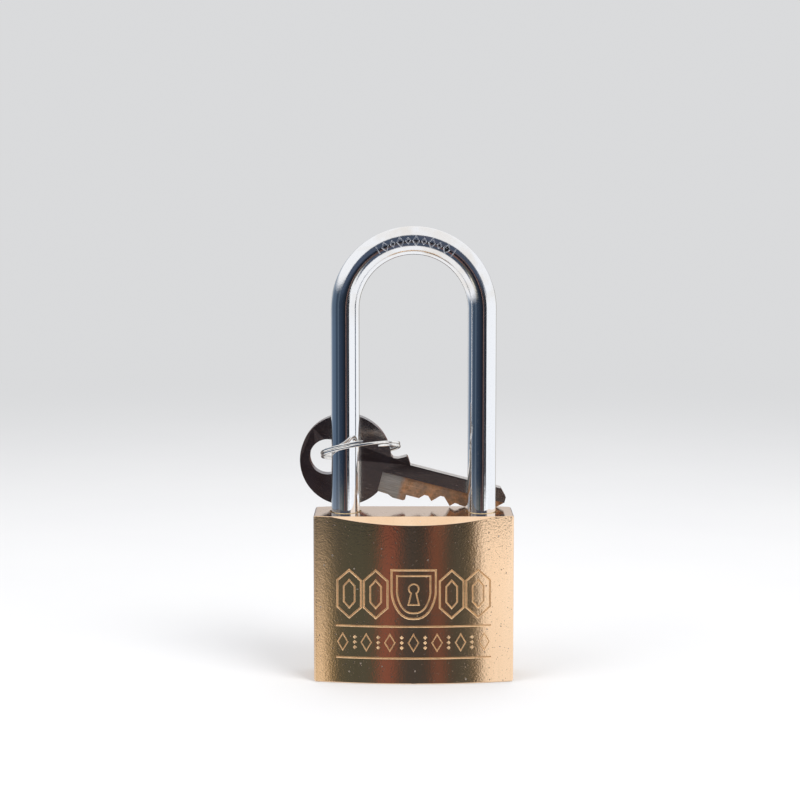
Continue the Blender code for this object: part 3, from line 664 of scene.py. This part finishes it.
def make_body():
    rings = []
    rc, re = 0.6, 0.22
    edge = BODY_HALF_W - rc
    ye = face_y(edge)
    corner = [90, 75, 55, 35, 15]
    for a in corner:
        s, c = math.sin(math.radians(a)), 1 - math.cos(math.radians(a))
        rings.append(body_ring(-edge - rc * s, ye - rc * c, 0.45 * c, BODY_H - 0.45 * c, re))
    n = 110
    for i in range(n + 1):
        x = -edge + 2 * edge * i / n
        rings.append(body_ring(x, face_y(x), 0.0, BODY_H, re))
    for a in reversed(corner):
        s, c = math.sin(math.radians(a)), 1 - math.cos(math.radians(a))
        rings.append(body_ring(edge + rc * s, ye - rc * c, 0.45 * c, BODY_H - 0.45 * c, re))
    body = new_object("body_shell", loft(rings), (BRASS, BRASS_CUT, BRASS_ENGRAVED))
    tools = []

    def place(ob, loc, turn=(0, 0, 0)):
        ob.location = tuple(c * MM for c in loc)
        ob.rotation_euler = turn
        tools.append(ob)

    ch = 0.35
    cut = (BRASS_CUT,)
    place(lathe("t_heel", [(0, BODY_H + 3), (BORE_R + ch + 3, BODY_H + 3), (BORE_R, BODY_H - ch),
                           (BORE_R, HEEL_FLOOR_Z), (0, HEEL_FLOOR_Z)], 64, cut), (-LEG_X, 0, 0))
    place(lathe("t_toe", [(0, BODY_H + 3), (BORE_R + ch + 3, BODY_H + 3), (BORE_R, BODY_H - ch),
                          (BORE_R, TOE_FLOOR_Z), (0, TOE_FLOOR_Z)], 64, cut), (LEG_X, 0, 0))
    place(lathe("t_plug", [(0, CHAMBER_Z), (PLUG_BORE_R, CHAMBER_Z), (PLUG_BORE_R, 0.3),
                           (PLUG_BORE_R + 2.3, -2.0), (0, -2.0)], 80, cut), (0, 0, 0))
    place(cone("t_cross", LATCH_BORE_R, LATCH_BORE_R, 50, 40, cut), (-LEG_X, 0, LATCH_Z), (0, math.pi / 2, 0))
    for z in PIN_Z:
        place(cone("t_pin", PIN_BORE_R, PIN_BORE_R, 26, 28, cut), (3, 0, z), (0, math.pi / 2, 0))
    place(cone("t_stop", STOP_PIN_R + 0.1, STOP_PIN_R + 0.1, 16.5, 24, cut),
          (-LEG_X + NECK_R + STOP_PIN_R + 0.1, 12, STOP_PIN_Z), (math.pi / 2, 0, 0))
    place(cone("t_lock", PLUG_PIN_R + 0.1, PLUG_PIN_R + 0.1, 15.5, 24, cut),
          (-(GROOVE_R + PLUG_PIN_R + 0.1), 12, PLUG_PIN_Z), (math.pi / 2, 0, 0))
    carve(body, tools)

    marks = []                                  # each takes a tiny sideways nudge, in millimetres
    for sx in (-1, 1):
        for cx in (9.45, 16.05):
            marks.append(lambda d, c=sx * cx: groove("m", hexagon(c + d, 22.7, 2.95, 6.0), 0.25, 0.21))
            marks.append(lambda d, c=sx * cx: groove("m", hexagon(c + d, 22.7, 1.35, 3.5), 0.22, 0.18))
    marks.append(lambda d: groove("m", shield(d, 22.7, 11.0, 12.3), 0.25, 0.21))
    marks.append(lambda d: groove("m", shield(d, 22.7, 8.3, 9.4), 0.22, 0.18))
    marks.append(lambda d: groove("m", keyhole(d, 23.0, 1.25), 0.20, 0.16))
    for z in (14.6, 6.55):
        marks.append(lambda d, z=z: groove("m", [(-19.4 + d, z + d), (19.3 + 2 * d, z + d)], 0.24, 0.20))
    for k in range(13):
        cx = -17.7 + 2.94 * k
        if k % 2 == 0:
            w, h = 1.25, 2.1
            marks.append(lambda d, c=cx, w=w, h=h: groove(
                "m", [(c + d - w, 10.5), (c + d, 10.5 + h), (c + d + w, 10.5), (c + d, 10.5 - h), (c + d - w, 10.5)],
                0.18, 0.13))
        else:
            for dz in (-1.3, 0.0, 1.3):
                marks.append(lambda d, c=cx, z=10.5 + dz: punch("m", c + d, z, 0.5, 0.5, 0.22))
    for mark in marks:
        for nudge in (0.0, 0.013, -0.017, 0.031, -0.041):
            before = body.data.copy()
            carve(body, [mark(nudge)])
            if not any(abs(v.co.x) < 0.0244 and -v.co.y / MM > face_y(v.co.x / MM) + 0.02 for v in body.data.vertices):
                break
            print("mark retried", marks.index(mark), nudge)
            body.data = before
    clean_shade(body, 30)
    settle(body)
    # True normals on the two curved faces, so that bores and engraving don't ripple them
    me = body.data
    own = [Vector(c.vector) for c in me.corner_normals]
    rad = (BODY_HALF_W ** 2 + BODY_SAG ** 2) / (2 * BODY_SAG)
    for poly in me.polygons:
        for li in poly.loop_indices:
            co = me.vertices[me.loops[li].vertex_index].co / MM
            if abs(co.x) < BODY_HALF_W - 0.61 and abs(abs(co.y) - face_y(co.x)) < 0.02:
                side = math.copysign(1.0, co.y)
                true = Vector((co.x, side * (abs(co.y) - BODY_HALF_T + rad), 0)).normalized()
                if true.dot(poly.normal) > 0.985:
                    own[li] = true
    me.normals_split_custom_set(own)
    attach(body, "body")
    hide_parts("body")
    return body


# ---------------------------------------------------------------- shackle

def make_shackle():
    sides = 64
    path = []                                   # (point, tangent angle in the XZ plane)
    legs = [HEEL_END_Z, 12.6, 30, 45, 60, 75, ARCH_Z - 0.5]
    for z in legs:
        path.append((Vector((-LEG_X, 0, z)), math.pi))
    n = 96
    for i in range(n + 1):
        a = math.pi - math.pi * i / n
        path.append((Vector((LEG_X * math.cos(a), 0, ARCH_Z + LEG_X * math.sin(a))), a))
    for z in reversed([TOE_END_Z, 31.5, 45, 60, 75, ARCH_Z - 0.5]):
        path.append((Vector((LEG_X, 0, z)), 0.0))
    rings = []
    for k, (p, a) in enumerate(path):
        out = Vector((math.cos(a), 0, math.sin(a)))
        r = ROD_R
        rings.append([tuple(p + r * (math.cos(t) * out + math.sin(t) * Vector((0, 1, 0))))
                      for t in (2 * math.pi * i / sides for i in range(sides))])
    rod = new_object("shackle_rod", loft(rings), (CHROME, STAMP))
    cutters = []
    hi, lo = STOP_PIN_Z + STOP_PIN_R + 0.1, STOP_PIN_Z - STOP_PIN_R - 0.1 - LIFT
    neck = lathe("t_neck", [(NECK_R, hi), (6, hi), (6, lo), (NECK_R, lo)], 48, (CHROME,), closed=True)
    neck.location = (-LEG_X * MM, 0, 0)
    cutters.append(neck)
    slope = LATCH_TRAVEL / LIFT
    face = LEG_X - ROD_R
    top, seat = LATCH_Z + NOSE_HALF + 0.1, LATCH_Z - NOSE_HALF - 0.1
    run = (LATCH_BITE + 0.3) / slope
    out = [(face - 1.5, top), (face - 1.5, seat - run), (face - 0.3, seat - run), (face + LATCH_BITE, seat),
           (face + LATCH_BITE, top)]
    for name, pts in (("t_n1", out), ("t_n2", [(-x, z) for x, z in out])):
        c = plate(name, [pts], 12, (CHROME,))
        c.rotation_euler = (math.pi / 2, 0, 0)
        cutters.append(c)
    for x, z in ((-LEG_X, HEEL_END_Z), (LEG_X, TOE_END_Z)):
        c = lathe("t_ease", [(ROD_R + 0.4, z + 0.6), (ROD_R + 0.4, z - 0.4), (ROD_R - 0.8, z - 0.4)], 48, (CHROME,),
                  closed=True)
        c.location = (x * MM, 0, 0)
        cutters.append(c)
    # Generic lozenge marks along the arch, between two short strokes
    for k in range(11):
        a = math.radians(121 - 6.6 * k)

        def at(u, v, a=a):
            rr = LEG_X + v
            return (rr * math.cos(a - u / LEG_X), ARCH_Z + rr * math.sin(a - u / LEG_X))
        if k in (0, 10):
            cutters.append(groove("t_mark", [at(0, -1.15), at(0, 1.15)], 0.17, 0.12, arch_y, STAMP))
        else:
            w, h = (0.78, 1.10) if k % 2 else (0.55, 0.70)
            cutters.append(groove("t_mark", [at(-w, 0), at(0, h), at(w, 0), at(0, -h), at(-w, 0)], 0.16, 0.12,
                                  arch_y, STAMP))
    carve(rod, cutters)
    clean_shade(rod, 30, weighted=False)
    me = rod.data
    # True rod normals, so that the cuts don't ripple the polished surface round them
    normals = []
    for poly in me.polygons:
        for li in poly.loop_indices:
            co = me.vertices[me.loops[li].vertex_index].co / MM
            if co.z > ARCH_Z:
                d = Vector((co.x, 0, co.z - ARCH_Z))
                c = d.normalized() * LEG_X + Vector((0, 0, ARCH_Z))
            else:
                c = Vector((math.copysign(LEG_X, co.x), 0, co.z))
            v = Vector(co) - c
            if abs(v.length - ROD_R) < 0.02 and v.normalized().dot(poly.normal) > 0.94:
                normals.append(v.normalized())
            else:
                normals.append(poly.normal.copy())
    me.normals_split_custom_set(normals)
    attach(rod, "shackle")
    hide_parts("shackle")
    return rod


# ---------------------------------------------------------------- keys

def key_outline():
    pts = []
    a0, a1 = math.radians(20.0), math.radians(330.0)
    n = 110
    for i in range(n + 1):
        a = a0 + (a1 - a0) * i / n
        pts.append((BOW_R * math.cos(a), BOW_R * math.sin(a)))
    pts += [(12.6, -5.9), (14.0, -6.5), (SHOULDER_U - 0.4, -6.5), (SHOULDER_U, -6.1), (SHOULDER_U, EDGE_V)]
    flat = 0.5
    us = [SHOULDER_U + z for z in PIN_Z]
    vs = [-1.05 - c for c in CUTS]

    def lowest(u):
        return max(EDGE_V, (42.6 - BOW_Z + math.sin(KEY_TILT) * u) / math.cos(KEY_TILT))
    pts.append((us[0] - flat - (vs[0] - EDGE_V), EDGE_V))
    for i in range(len(us)):
        pts.append((us[i] - flat, vs[i]))
        pts.append((us[i] + flat, vs[i]))
        if i + 1 < len(us):
            gap = (us[i + 1] - flat) - (us[i] + flat)
            peak = (vs[i] + vs[i + 1] - gap) / 2
            mid = us[i] + flat + (vs[i] - peak)
            low = lowest(mid)
            if peak < low:
                pts.append((us[i] + flat + (vs[i] - low), low))
                pts.append((us[i + 1] - flat - (vs[i + 1] - low), low))
            else:
                pts.append((mid, peak))
    pts += [(40.0, -2.4), (TIP_U, -0.6), (TIP_U, 0.9), (40.1, BACK_V), (16.3, BACK_V),
            (15.3, 4.4), (14.8, 4.75), (12.9, 3.65), (11.6, 3.5)]
    return pts


def make_key(name, y):
    hole = [(HOLE_U + HOLE_R * math.cos(2 * math.pi * i / 72), HOLE_V + HOLE_R * math.sin(2 * math.pi * i / 72))
            for i in range(72)]
    loops = [[(u - HOLE_U, v - HOLE_V) for u, v in lp] for lp in (key_outline(), hole)]
    ob = plate(name + "_cut", loops, KEY_T, (KEY_PLATE, KEY_MILL, KEY_EDGE_HIGHLIGHT))
    soften(ob, 0.20, 2, 30)
    # The chamfer faces take the painted-highlight material
    for poly in ob.data.polygons:
        if 0.2 < abs(poly.normal.z) < 0.97:
            poly.material_index = 2
    mill = boxm("t_mill", (9.9 - HOLE_U, -9.0 - HOLE_V, KEY_T / 2 - 0.45), (43.0 - HOLE_U, -0.6 - HOLE_V, KEY_T),
                (KEY_MILL,))
    grv = boxm("t_grv", (12.0 - HOLE_U, 0.5 - HOLE_V, -KEY_T), (43.0 - HOLE_U, 1.9 - HOLE_V, -KEY_T / 2 + 0.5),
               (KEY_MILL,))
    carve(ob, [mill, grv])
    c, s = math.cos(KEY_TILT), math.sin(KEY_TILT)
    hx = BOW_X + HOLE_U * c + HOLE_V * s
    hz = BOW_Z - HOLE_U * s + HOLE_V * c
    ob.data.transform(KEY_TURN.to_4x4())
    ob.location = (hx * MM, y * MM, hz * MM)
    clean_shade(ob, 30)
    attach(ob, name)
    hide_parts(name)
    return ob


# ---------------------------------------------------------------- split ring

def make_ring():
    steps = 96
    n = int(RING_TURNS * steps)
    ex = Vector((math.cos(RING_TILT_SIDE), 0, math.sin(RING_TILT_SIDE)))
    ey = Vector((0, math.cos(RING_TILT_NEAR), -math.sin(RING_TILT_NEAR)))
    ez = ex.cross(ey).normalized()
    start = math.radians(-62.0)
    rings = []
    hw, hh = 0.31, 0.33
    for i in range(n + 1):
        a = start + 2 * math.pi * i / steps
        lift = RING_PITCH * (i / n - 0.5) * RING_TURNS
        rad = math.cos(a) * ex + math.sin(a) * ey
        c = Vector(RING_C) + RING_R * rad + lift * ez
        ring = []
        taper = min(1.0, 0.72 + 0.28 * min(i, n - i) / 2)
        for k in range(20):
            t = 2 * math.pi * k / 20
            cx, cz = math.cos(t), math.sin(t)
            px = math.copysign(abs(cx) ** 0.62, cx) * hw * taper
            pz = math.copysign(abs(cz) ** 0.62, cz) * hh * taper
            ring.append(tuple(c + px * rad + pz * ez))
        rings.append(ring)
    ob = new_object("split_ring", loft(rings), (RING_MAT,))
    clean_shade(ob, 50, weighted=False)
    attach(ob, "key_ring")
    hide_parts("key_ring")
    return ob


make_body()
make_shackle()
for key_name, key_y in KEY_Y.items():
    make_key(key_name, key_y)
make_ring()

# Carried-over CAD nodes get their own materials
for node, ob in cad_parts.items():
    if node in ("body", "shackle", "key_front", "key_rear", "key_ring"):
        continue
    if "spring" in node:
        mt = SPRING_MAT
    elif node.startswith(("cam", "latch_left", "latch_right")):
        mt = LATCH_MAT
    elif node == "plug":
        mt = PLUG_MAT
    elif node.startswith(("pin_cap", "key_pin", "driver_pin")):
        i = int(node[-1]) - 1
        mt = turned_brass_material("turned_" + node, (0, 0, PIN_Z[i]), "X", (0.88, 0.67, 0.41), (0.66, 0.46, 0.26))
    elif node == "latch_bore_plug":
        mt = turned_brass_material("turned_" + node, (0, 0, LATCH_Z), "X", (0.88, 0.66, 0.41), (0.70, 0.50, 0.29))
    elif node == "shackle_retaining_pin":
        mt = turned_brass_material("turned_" + node, (-LEG_X + NECK_R + STOP_PIN_R + 0.1, 0, STOP_PIN_Z), "Y",
                                   (0.88, 0.67, 0.41), (0.66, 0.46, 0.26))
    elif node == "plug_retaining_pin":
        mt = turned_brass_material("turned_" + node, (-(GROOVE_R + PLUG_PIN_R + 0.1), 0, PLUG_PIN_Z), "Y",
                                   (0.88, 0.67, 0.41), (0.66, 0.46, 0.26))
    else:
        mt = PIN_MAT
    if not ob.material_slots:
        ob.data.materials.append(mt)
    for slot in ob.material_slots:
        slot.material = mt


# ---------------------------------------------------------------- stage, light and camera

def make_floor():
    bm = bmesh.new()
    bmesh.ops.create_grid(bm, x_segments=2, y_segments=2, size=6.0)
    fl = new_object("floor", bm, (floor_material(),))
    fl.location = (0, 0, -0.0001)
    fl.visible_glossy = False
    return fl


make_floor()


def world_nodes():
    w = bpy.data.worlds.new("studio")
    scene.world = w
    w.use_nodes = True
    nt = w.node_tree
    nt.nodes.clear()

    def add(kind, **kw):
        n = nt.nodes.new(kind)
        for k, v in kw.items():
            setattr(n, k, v)
        return n

    def m(op, a, b=0.0, c=None):
        n = add("ShaderNodeMath", operation=op)
        for i, v in enumerate((a, b) if c is None else (a, b, c)):
            if isinstance(v, (int, float)):
                n.inputs[i].default_value = v
            else:
                nt.links.new(v, n.inputs[i])
        return n.outputs[0]

    def ramp(fac, stops):
        n = add("ShaderNodeValToRGB")
        cr = n.color_ramp
        while len(cr.elements) < len(stops):
            cr.elements.new(0.5)
        for e, (p, c) in zip(cr.elements, stops):
            e.position = p
            e.color = (*c, 1)
        nt.links.new(fac, n.inputs[0])
        return n.outputs[0]

    def mix(fac, a, b):
        n = add("ShaderNodeMix", data_type="RGBA")
        for i, v in ((0, fac), (6, a), (7, b)):
            if isinstance(v, (int, float)):
                n.inputs[i].default_value = v
            elif isinstance(v, tuple):
                n.inputs[i].default_value = (*v, 1)
            else:
                nt.links.new(v, n.inputs[i])
        return n.outputs[2]

    tc = add("ShaderNodeTexCoord")
    sep = add("ShaderNodeSeparateXYZ")
    nt.links.new(tc.outputs["Generated"], sep.inputs[0])
    x, y, z = sep.outputs
    az = m("ARCTAN2", x, m("MULTIPLY", y, -1.0))            # 0 towards the camera, + to its right
    el = m("ARCSINE", z)
    azf = m("MULTIPLY_ADD", az, 1 / (2 * math.pi), 0.5)

    def A(deg):
        return deg / 360 + 0.5

    slate, dark = (0.034, 0.053, 0.085), (0.012, 0.015, 0.022)
    box = (1.02, 1.03, 1.05)
    legs = ramp(azf, [(A(-180), (0.55, 0.56, 0.60)), (A(-150), (0.36, 0.42, 0.50)), (A(-112), (0.115, 0.165, 0.235)),
                      (A(-84), (0.10, 0.145, 0.21)), (A(-76), (0.045, 0.068, 0.105)), (A(-62), (0.055, 0.082, 0.12)),
                      (A(-54), (0.115, 0.155, 0.21)), (A(-48), (0.04, 0.06, 0.095)), (A(-20), (0.022, 0.034, 0.056)), (A(0), dark), (A(5.5), dark), (A(7), (0.34, 0.20, 0.16)),
                      (A(9.5), (0.24, 0.15, 0.13)), (A(11), dark), (A(17), dark), (A(19), (0.14, 0.14, 0.16)), (A(22), dark),
                      (A(33), (0.012, 0.015, 0.022)), (A(36), box), (A(132), box), (A(180), (0.55, 0.56, 0.60))])
    deg = m("MULTIPLY", el, 180 / math.pi)

    def step(v, lo, hi):
        n = add("ShaderNodeMapRange", interpolation_type="SMOOTHSTEP")
        n.inputs["From Min"].default_value, n.inputs["From Max"].default_value = lo, hi
        nt.links.new(v, n.inputs["Value"])
        return n.outputs["Result"]

    # Strips that the body's convex faces mirror: a fine ramp over 64 degrees, and a coarse one beyond it.
    # Lower down they spread apart.
    fine = [(-32, (0.88, 0.82, 0.72)), (-25.6, (0.88, 0.82, 0.70)), (-23.8, (0.36, 0.31, 0.20)),
            (-21.8, (0.098, 0.100, 0.080)), (-18.0, (0.084, 0.098, 0.088)), (-12.0, (0.082, 0.096, 0.088)),
            (-9.6, (0.098, 0.092, 0.080)), (-7.6, (0.255, 0.110, 0.096)), (-4.9, (0.225, 0.100, 0.086)),
            (-3.0, (0.098, 0.076, 0.072)), (-1.2, (0.064, 0.067, 0.074)), (3.0, (0.064, 0.068, 0.074)),
            (4.6, (0.095, 0.070, 0.066)), (5.9, (0.205, 0.096, 0.080)), (7.6, (0.165, 0.086, 0.074)),
            (9.6, (0.078, 0.080, 0.080)), (12.0, (0.078, 0.088, 0.088)), (15.0, (0.100, 0.106, 0.096)),
            (17.4, (0.145, 0.125, 0.092)), (18.3, (0.42, 0.39, 0.34)), (19.6, (1.0, 0.99, 0.98)), (32, (1.0, 1.0, 1.0))]
    coarse = [(A(-180), (0.50, 0.50, 0.50)), (A(-120), (0.45, 0.45, 0.46)), (A(-60), (0.80, 0.80, 0.82)),
              (A(-30), (0.88, 0.82, 0.72)), (A(30), (1.0, 1.0, 1.0)), (A(130), (1.0, 1.0, 1.0)), (A(180), (0.50, 0.50, 0.50))]

    def mirrored(ax, ay):
        a = m("ARCTAN2", ax, ay)
        n = m("MULTIPLY_ADD", a, 180 / math.pi / 64, 0.5)
        far = step(m("ABSOLUTE", a), math.radians(29), math.radians(31.5))
        return mix(far, ramp(m("ADD", n, shift(n)), [((d + 32) / 64, c) for d, c in fine]),
                   ramp(m("MULTIPLY_ADD", a, 1 / (2 * math.pi), 0.5), coarse))

    low = step(deg, -10.6, -15.6)

    def shift(n):
        # grey 0.5 leaves a direction where it is; the strips keep their place at the top and move outwards below
        g = ramp(n, [((d + 32) / 64, (v, v, v)) for d, v in
                     ((-32, 0.5), (-19, 0.5), (-12, 0.68), (-6.5, 0.85), (0, 0.5), (6.5, 0.20), (12, 0.20), (18.5, 0.12), (32, 0.5))])
        return m("MULTIPLY", m("MULTIPLY", m("SUBTRACT", g, 0.5), 4.0 / 64), low)

    body = mirrored(x, m("MULTIPLY", y, -1.0))
    rear = mirrored(m("MULTIPLY", x, -1.0), y)
    off = m("MULTIPLY", m("ARCCOSINE", m("MULTIPLY", y, -1.0)), 180 / math.pi)      # angle from the camera's side

    # The left patch loses strength towards the horizon
    left = m("MULTIPLY", step(azf, A(-18), A(-23)), step(deg, -15.6, -10.4))
    body = mix(m("MULTIPLY", left, 0.90), body, (0.10, 0.11, 0.11))
    lift = m("MULTIPLY", step(azf, A(19.0), A(20.5)), step(deg, -14.0, -10.8))
    body = mix(lift, body, (1.15, 1.16, 1.18))
    cone = step(off, 42.0, 47.0)
    # What the arch mirrors above and below the legs' band is a little lighter
    arch = m("MULTIPLY", step(m("ABSOLUTE", m("ADD", deg, 5.5)), 6.0, 13.0), step(off, 48.0, 42.0))
    legs = mix(m("MULTIPLY", arch, 0.85), legs, (0.080, 0.105, 0.160))
    band = m("MULTIPLY", step(deg, -9.3, -10.2), step(deg, -22.0, -18.0))
    env = mix(m("MULTIPLY", band, step(off, 60, 41)), legs, body)
    env = mix(m("MULTIPLY", cone, step(m("ABSOLUTE", deg), 8.0, 19.0)), env, (1.02, 1.02, 1.03))
    env = mix(m("MULTIPLY", step(off, 146, 151), step(deg, 4.0, -1.0)), env, rear)
    back = (*BACKDROP,)
    lp = add("ShaderNodeLightPath")
    seen = mix(lp.outputs["Is Camera Ray"], env, back)
    bg = add("ShaderNodeBackground")
    nt.links.new(seen, bg.inputs["Color"])
    bg.inputs["Strength"].default_value = 1.0
    out = add("ShaderNodeOutputWorld")
    nt.links.new(bg.outputs[0], out.inputs[0])


world_nodes()


def area(name, loc, target, size, energy, glossy=False):
    li = bpy.data.lights.new(name, "AREA")
    li.shape, li.size, li.energy = "DISK", size, energy
    ob = bpy.data.objects.new(name, li)
    coll.objects.link(ob)
    ob.location = loc
    ob.rotation_euler = (Vector(target) - Vector(loc)).to_track_quat("-Z", "Y").to_euler()
    ob.visible_glossy = glossy
    return ob


area("key_light", (0.45, -0.45, 0.75), (0, 0, 0.03), 0.55, 4.6)
area("fill_light", (-0.6, -0.3, 0.6), (0, 0, 0.03), 0.7, 2.5)

cam_data = bpy.data.cameras.new("camera")
cam = bpy.data.objects.new("camera", cam_data)
coll.objects.link(cam)
# Nearly level camera 444 mm away, just above the arch, tipped down 5 degrees with a small downward shift
FOCAL_PX = 1778.8
cam.location = (-3.41 * MM, -443.9 * MM, 122.3 * MM)
cam.rotation_euler = (math.radians(85.0), 0, 0)
cam_data.sensor_width = 36.0
cam_data.lens = 36.0 * FOCAL_PX / 800
cam_data.shift_y = -0.0654
cam_data.clip_start, cam_data.clip_end = 0.01, 50.0
cam_data.dof.use_dof = False
scene.camera = cam
scene.view_settings.view_transform = "Standard"
